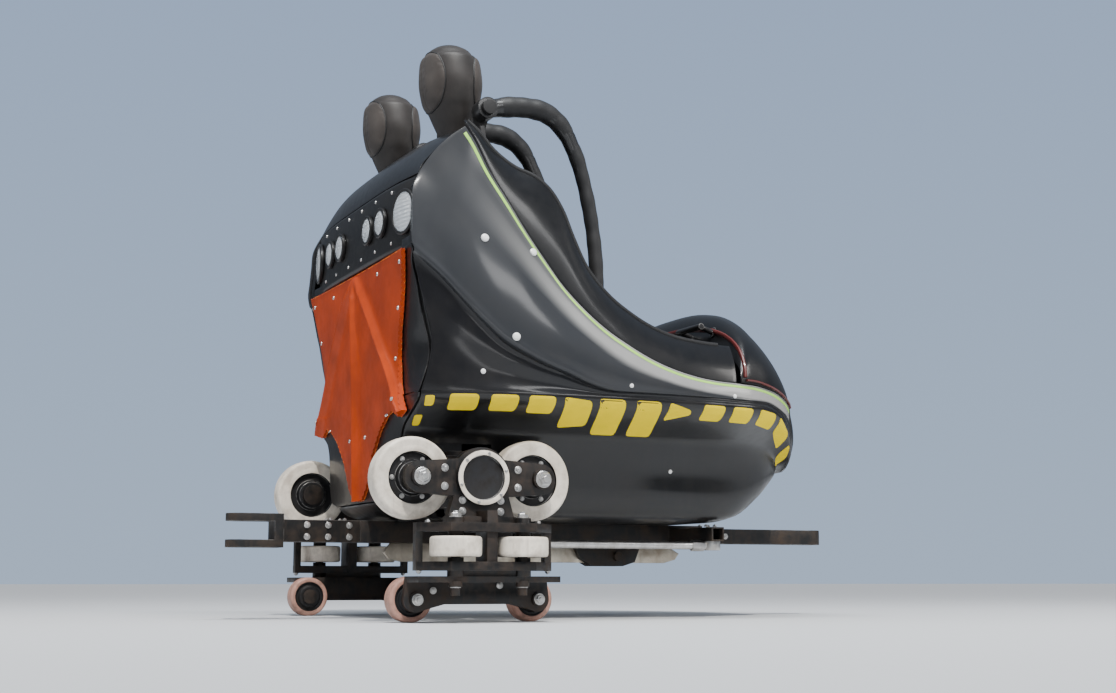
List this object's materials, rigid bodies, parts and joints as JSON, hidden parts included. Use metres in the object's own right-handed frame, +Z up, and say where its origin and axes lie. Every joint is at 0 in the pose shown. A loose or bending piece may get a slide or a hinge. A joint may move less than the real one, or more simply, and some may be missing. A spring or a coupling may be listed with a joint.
{
  "type": "roller coaster car",
  "caption": "Two-seat amusement ride car on swivelling three-way wheel bogies, with shell body, lap bars, lamps and couplings.",
  "frame": {"origin": "centre of the outline seen from above, at the bottom of the lower wheels", "axes": "+X forward, the way the car runs; +Y to the car's left; +Z up"},
  "size_m": [1.892, 1.3196, 1.5878],
  "materials": {
    "frame_paint": "satin",
    "axle_steel": "satin",
    "fin_steel": "satin",
    "bright_steel": "satin",
    "black_shell": "gloss",
    "grey_shell": "gloss",
    "orange_shell": "gloss",
    "lamp_lens": "gloss",
    "seat_shell": "satin",
    "head_foam": "matte",
    "seat_pad": "satin",
    "bar_foam": "matte",
    "bar_metal": "satin",
    "bogie_paint": "satin",
    "cream_tread": "satin",
    "wheel_hub": "satin",
    "side_tread": "satin",
    "lower_tread": "satin"
  },
  "bodies": {
    "chassis": {"axle_beam": "axle_steel", "spine": "frame_paint", "front_coupling": "frame_paint", "rear_coupling": "frame_paint", "brake_fin": "fin_steel", "chain_dog": "frame_paint", "radius_rod_right": "bright_steel", "radius_rod_left": "bright_steel", "hull": "black_shell", "rear_skirt": "black_shell", "rear_wall": "black_shell", "flank_right": "grey_shell", "flank_left": "grey_shell", "cockpit_side_right": "black_shell", "cockpit_side_left": "black_shell", "hood": "black_shell", "grab_handles": "frame_paint", "rear_cowl": "black_shell", "lamp_bar": "black_shell", "tail_lamps": "lamp_lens", "rear_panel": "orange_shell", "seats": "seat_shell", "cushion_right": "seat_pad", "cushion_left": "seat_pad", "headrest_right": "head_foam", "headrest_left": "head_foam"},
    "lap_bar_right": {"lap_bar_right": "bar_metal", "lap_pad_right": "bar_foam"},
    "lap_bar_left": {"lap_bar_left": "bar_metal", "lap_pad_left": "bar_foam"},
    "bogie_right": {"bogie_frame_right": "bogie_paint", "hub_cap_right": "bright_steel"},
    "bogie_left": {"bogie_frame_left": "bogie_paint", "hub_cap_left": "bright_steel"},
    "load_wheel_rf": {"load_tyre_rf": "cream_tread", "load_hub_rf": "wheel_hub"},
    "side_wheel_rf": {"side_wheel_rf": "side_tread"},
    "lower_wheel_rf": {"lower_wheel_rf": "lower_tread"},
    "load_wheel_rr": {"load_tyre_rr": "cream_tread", "load_hub_rr": "wheel_hub"},
    "side_wheel_rr": {"side_wheel_rr": "side_tread"},
    "lower_wheel_rr": {"lower_wheel_rr": "lower_tread"},
    "load_wheel_lf": {"load_tyre_lf": "cream_tread", "load_hub_lf": "wheel_hub"},
    "side_wheel_lf": {"side_wheel_lf": "side_tread"},
    "lower_wheel_lf": {"lower_wheel_lf": "lower_tread"},
    "load_wheel_lr": {"load_tyre_lr": "cream_tread", "load_hub_lr": "wheel_hub"},
    "side_wheel_lr": {"side_wheel_lr": "side_tread"},
    "lower_wheel_lr": {"lower_wheel_lr": "lower_tread"}
  },
  "joints": [
    {"name": "lap_bar_right_open", "type": "hinge", "parent": "chassis", "child": "lap_bar_right", "pos_m": [-0.358, -0.255, 1.3767], "axis": [0, -1, 0], "range_deg": [0, 75]},
    {"name": "lap_bar_left_open", "type": "hinge", "parent": "chassis", "child": "lap_bar_left", "pos_m": [-0.358, 0.255, 1.3767], "axis": [0, -1, 0], "range_deg": [0, 75]},
    {"name": "bogie_right_swivel", "type": "hinge", "parent": "chassis", "child": "bogie_right", "pos_m": [-0.42, -0.345, 0.3627], "axis": [0, 0, 1], "range_deg": [-6, 6]},
    {"name": "bogie_left_swivel", "type": "hinge", "parent": "chassis", "child": "bogie_left", "pos_m": [-0.42, 0.345, 0.3627], "axis": [0, 0, 1], "range_deg": [-6, 6]},
    {"name": "load_wheel_rf_spin", "type": "hinge", "parent": "bogie_right", "child": "load_wheel_rf", "pos_m": [-0.255, -0.46, 0.3627], "axis": [0, 1, 0], "continuous": true},
    {"name": "side_wheel_rf_spin", "type": "hinge", "parent": "bogie_right", "child": "side_wheel_rf", "pos_m": [-0.33, -0.59485, 0.18785], "axis": [0, 0, 1], "continuous": true},
    {"name": "lower_wheel_rf_spin", "type": "hinge", "parent": "bogie_right", "child": "lower_wheel_rf", "pos_m": [-0.255, -0.46, 0.0575], "axis": [0, 1, 0], "continuous": true},
    {"name": "load_wheel_rr_spin", "type": "hinge", "parent": "bogie_right", "child": "load_wheel_rr", "pos_m": [-0.585, -0.46, 0.3627], "axis": [0, 1, 0], "continuous": true},
    {"name": "side_wheel_rr_spin", "type": "hinge", "parent": "bogie_right", "child": "side_wheel_rr", "pos_m": [-0.51, -0.59485, 0.18785], "axis": [0, 0, 1], "continuous": true},
    {"name": "lower_wheel_rr_spin", "type": "hinge", "parent": "bogie_right", "child": "lower_wheel_rr", "pos_m": [-0.585, -0.46, 0.0575], "axis": [0, 1, 0], "continuous": true},
    {"name": "load_wheel_lf_spin", "type": "hinge", "parent": "bogie_left", "child": "load_wheel_lf", "pos_m": [-0.255, 0.46, 0.3627], "axis": [0, 1, 0], "continuous": true},
    {"name": "side_wheel_lf_spin", "type": "hinge", "parent": "bogie_left", "child": "side_wheel_lf", "pos_m": [-0.33, 0.59485, 0.18785], "axis": [0, 0, 1], "continuous": true},
    {"name": "lower_wheel_lf_spin", "type": "hinge", "parent": "bogie_left", "child": "lower_wheel_lf", "pos_m": [-0.255, 0.46, 0.0575], "axis": [0, 1, 0], "continuous": true},
    {"name": "load_wheel_lr_spin", "type": "hinge", "parent": "bogie_left", "child": "load_wheel_lr", "pos_m": [-0.585, 0.46, 0.3627], "axis": [0, 1, 0], "continuous": true},
    {"name": "side_wheel_lr_spin", "type": "hinge", "parent": "bogie_left", "child": "side_wheel_lr", "pos_m": [-0.51, 0.59485, 0.18785], "axis": [0, 0, 1], "continuous": true},
    {"name": "lower_wheel_lr_spin", "type": "hinge", "parent": "bogie_left", "child": "lower_wheel_lr", "pos_m": [-0.585, 0.46, 0.0575], "axis": [0, 1, 0], "continuous": true}
  ]
}
